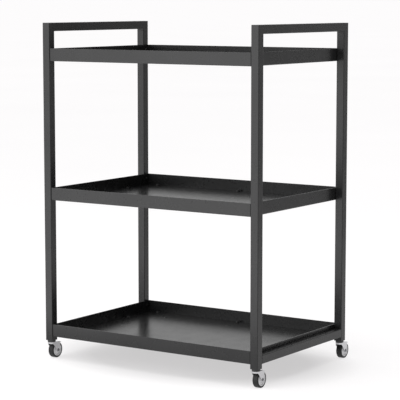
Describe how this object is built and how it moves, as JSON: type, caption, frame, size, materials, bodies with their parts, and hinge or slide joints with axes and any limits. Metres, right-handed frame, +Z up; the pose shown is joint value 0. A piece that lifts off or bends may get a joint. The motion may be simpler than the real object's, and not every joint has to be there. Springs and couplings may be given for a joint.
{
  "type": "rolling utility cart",
  "caption": "Rolling utility cart: square-tube side frames that rise into handle bars, shallow lipped metal trays between them, and small swivel casters.",
  "frame": {"origin": "on the floor, under the middle of the whole cart with its casters trailing towards the back", "axes": "+X to the cart's right, seen from the front, along the trays' long side; +Y towards the back, where the casters trail; +Z up"},
  "size_m": [0.6, 0.423, 0.805],
  "materials": {
    "powder_coated_tube": "fine satin black powder coat on steel tube",
    "powder_coated_rim": "fine satin black powder coat on folded steel angle",
    "powder_coated_panel": "smooth satin black powder coat on steel sheet",
    "black_fasteners": "black coated steel",
    "zinc_steel": "zinc plated steel",
    "dark_steel": "blackened steel axle",
    "bearing_steel": "polished bearing steel",
    "chrome_fork": "bright chrome plated pressed steel",
    "grey_hub": "light grey moulded plastic",
    "black_tyre": "smooth black rubber",
    "black_plastic": "black moulded plastic"
  },
  "bodies": {
    "root": {"left_front_leg": "powder_coated_tube", "left_back_leg": "powder_coated_tube", "left_handle_bar": "powder_coated_tube", "left_bottom_rail": "powder_coated_tube", "right_front_leg": "powder_coated_tube", "right_back_leg": "powder_coated_tube", "right_handle_bar": "powder_coated_tube", "right_bottom_rail": "powder_coated_tube", "bottom_tray_rim": "powder_coated_rim", "bottom_tray_panel": "powder_coated_panel", "bottom_tray_rivets": "black_fasteners", "bottom_tray_bolts": "black_fasteners", "bottom_rivet_nuts": "zinc_steel", "middle_tray_rim": "powder_coated_rim", "middle_tray_panel": "powder_coated_panel", "middle_tray_rivets": "black_fasteners", "middle_tray_bolts": "black_fasteners", "middle_rivet_nuts": "zinc_steel", "top_tray_rim": "powder_coated_rim", "top_tray_panel": "powder_coated_panel", "top_tray_rivets": "black_fasteners", "top_tray_bolts": "black_fasteners", "top_rivet_nuts": "zinc_steel", "left_front_caster_plug": "black_plastic", "left_front_caster_stem": "zinc_steel", "left_front_swivel_race": "zinc_steel", "left_front_swivel_balls": "bearing_steel", "left_back_caster_plug": "black_plastic", "left_back_caster_stem": "zinc_steel", "left_back_swivel_race": "zinc_steel", "left_back_swivel_balls": "bearing_steel", "right_front_caster_plug": "black_plastic", "right_front_caster_stem": "zinc_steel", "right_front_swivel_race": "zinc_steel", "right_front_swivel_balls": "bearing_steel", "right_back_caster_plug": "black_plastic", "right_back_caster_stem": "zinc_steel", "right_back_swivel_race": "zinc_steel", "right_back_swivel_balls": "bearing_steel"},
    "left_front_swivel": {"left_front_caster_fork": "chrome_fork", "left_front_wheel_axle": "dark_steel"},
    "left_front_wheel": {"left_front_wheel_hub": "grey_hub", "left_front_wheel_tyre": "black_tyre"},
    "left_back_swivel": {"left_back_caster_fork": "chrome_fork", "left_back_wheel_axle": "dark_steel"},
    "left_back_wheel": {"left_back_wheel_hub": "grey_hub", "left_back_wheel_tyre": "black_tyre"},
    "right_front_swivel": {"right_front_caster_fork": "chrome_fork", "right_front_wheel_axle": "dark_steel"},
    "right_front_wheel": {"right_front_wheel_hub": "grey_hub", "right_front_wheel_tyre": "black_tyre"},
    "right_back_swivel": {"right_back_caster_fork": "chrome_fork", "right_back_wheel_axle": "dark_steel"},
    "right_back_wheel": {"right_back_wheel_hub": "grey_hub", "right_back_wheel_tyre": "black_tyre"}
  },
  "joints": [
    {"name": "left_front_swivel_turn", "type": "hinge", "parent": "root", "child": "left_front_swivel", "pos_m": [-0.29, -0.2015, 0.0402], "axis": [0, 0, 1], "continuous": true},
    {"name": "left_front_wheel_spin", "type": "hinge", "parent": "left_front_swivel", "child": "left_front_wheel", "pos_m": [-0.29, -0.1875, 0.019], "axis": [1, 0, 0], "continuous": true},
    {"name": "left_back_swivel_turn", "type": "hinge", "parent": "root", "child": "left_back_swivel", "pos_m": [-0.29, 0.1785, 0.0402], "axis": [0, 0, 1], "continuous": true},
    {"name": "left_back_wheel_spin", "type": "hinge", "parent": "left_back_swivel", "child": "left_back_wheel", "pos_m": [-0.29, 0.1925, 0.019], "axis": [1, 0, 0], "continuous": true},
    {"name": "right_front_swivel_turn", "type": "hinge", "parent": "root", "child": "right_front_swivel", "pos_m": [0.29, -0.2015, 0.0402], "axis": [0, 0, 1], "continuous": true},
    {"name": "right_front_wheel_spin", "type": "hinge", "parent": "right_front_swivel", "child": "right_front_wheel", "pos_m": [0.29, -0.1875, 0.019], "axis": [1, 0, 0], "continuous": true},
    {"name": "right_back_swivel_turn", "type": "hinge", "parent": "root", "child": "right_back_swivel", "pos_m": [0.29, 0.1785, 0.0402], "axis": [0, 0, 1], "continuous": true},
    {"name": "right_back_wheel_spin", "type": "hinge", "parent": "right_back_swivel", "child": "right_back_wheel", "pos_m": [0.29, 0.1925, 0.019], "axis": [1, 0, 0], "continuous": true}
  ]
}
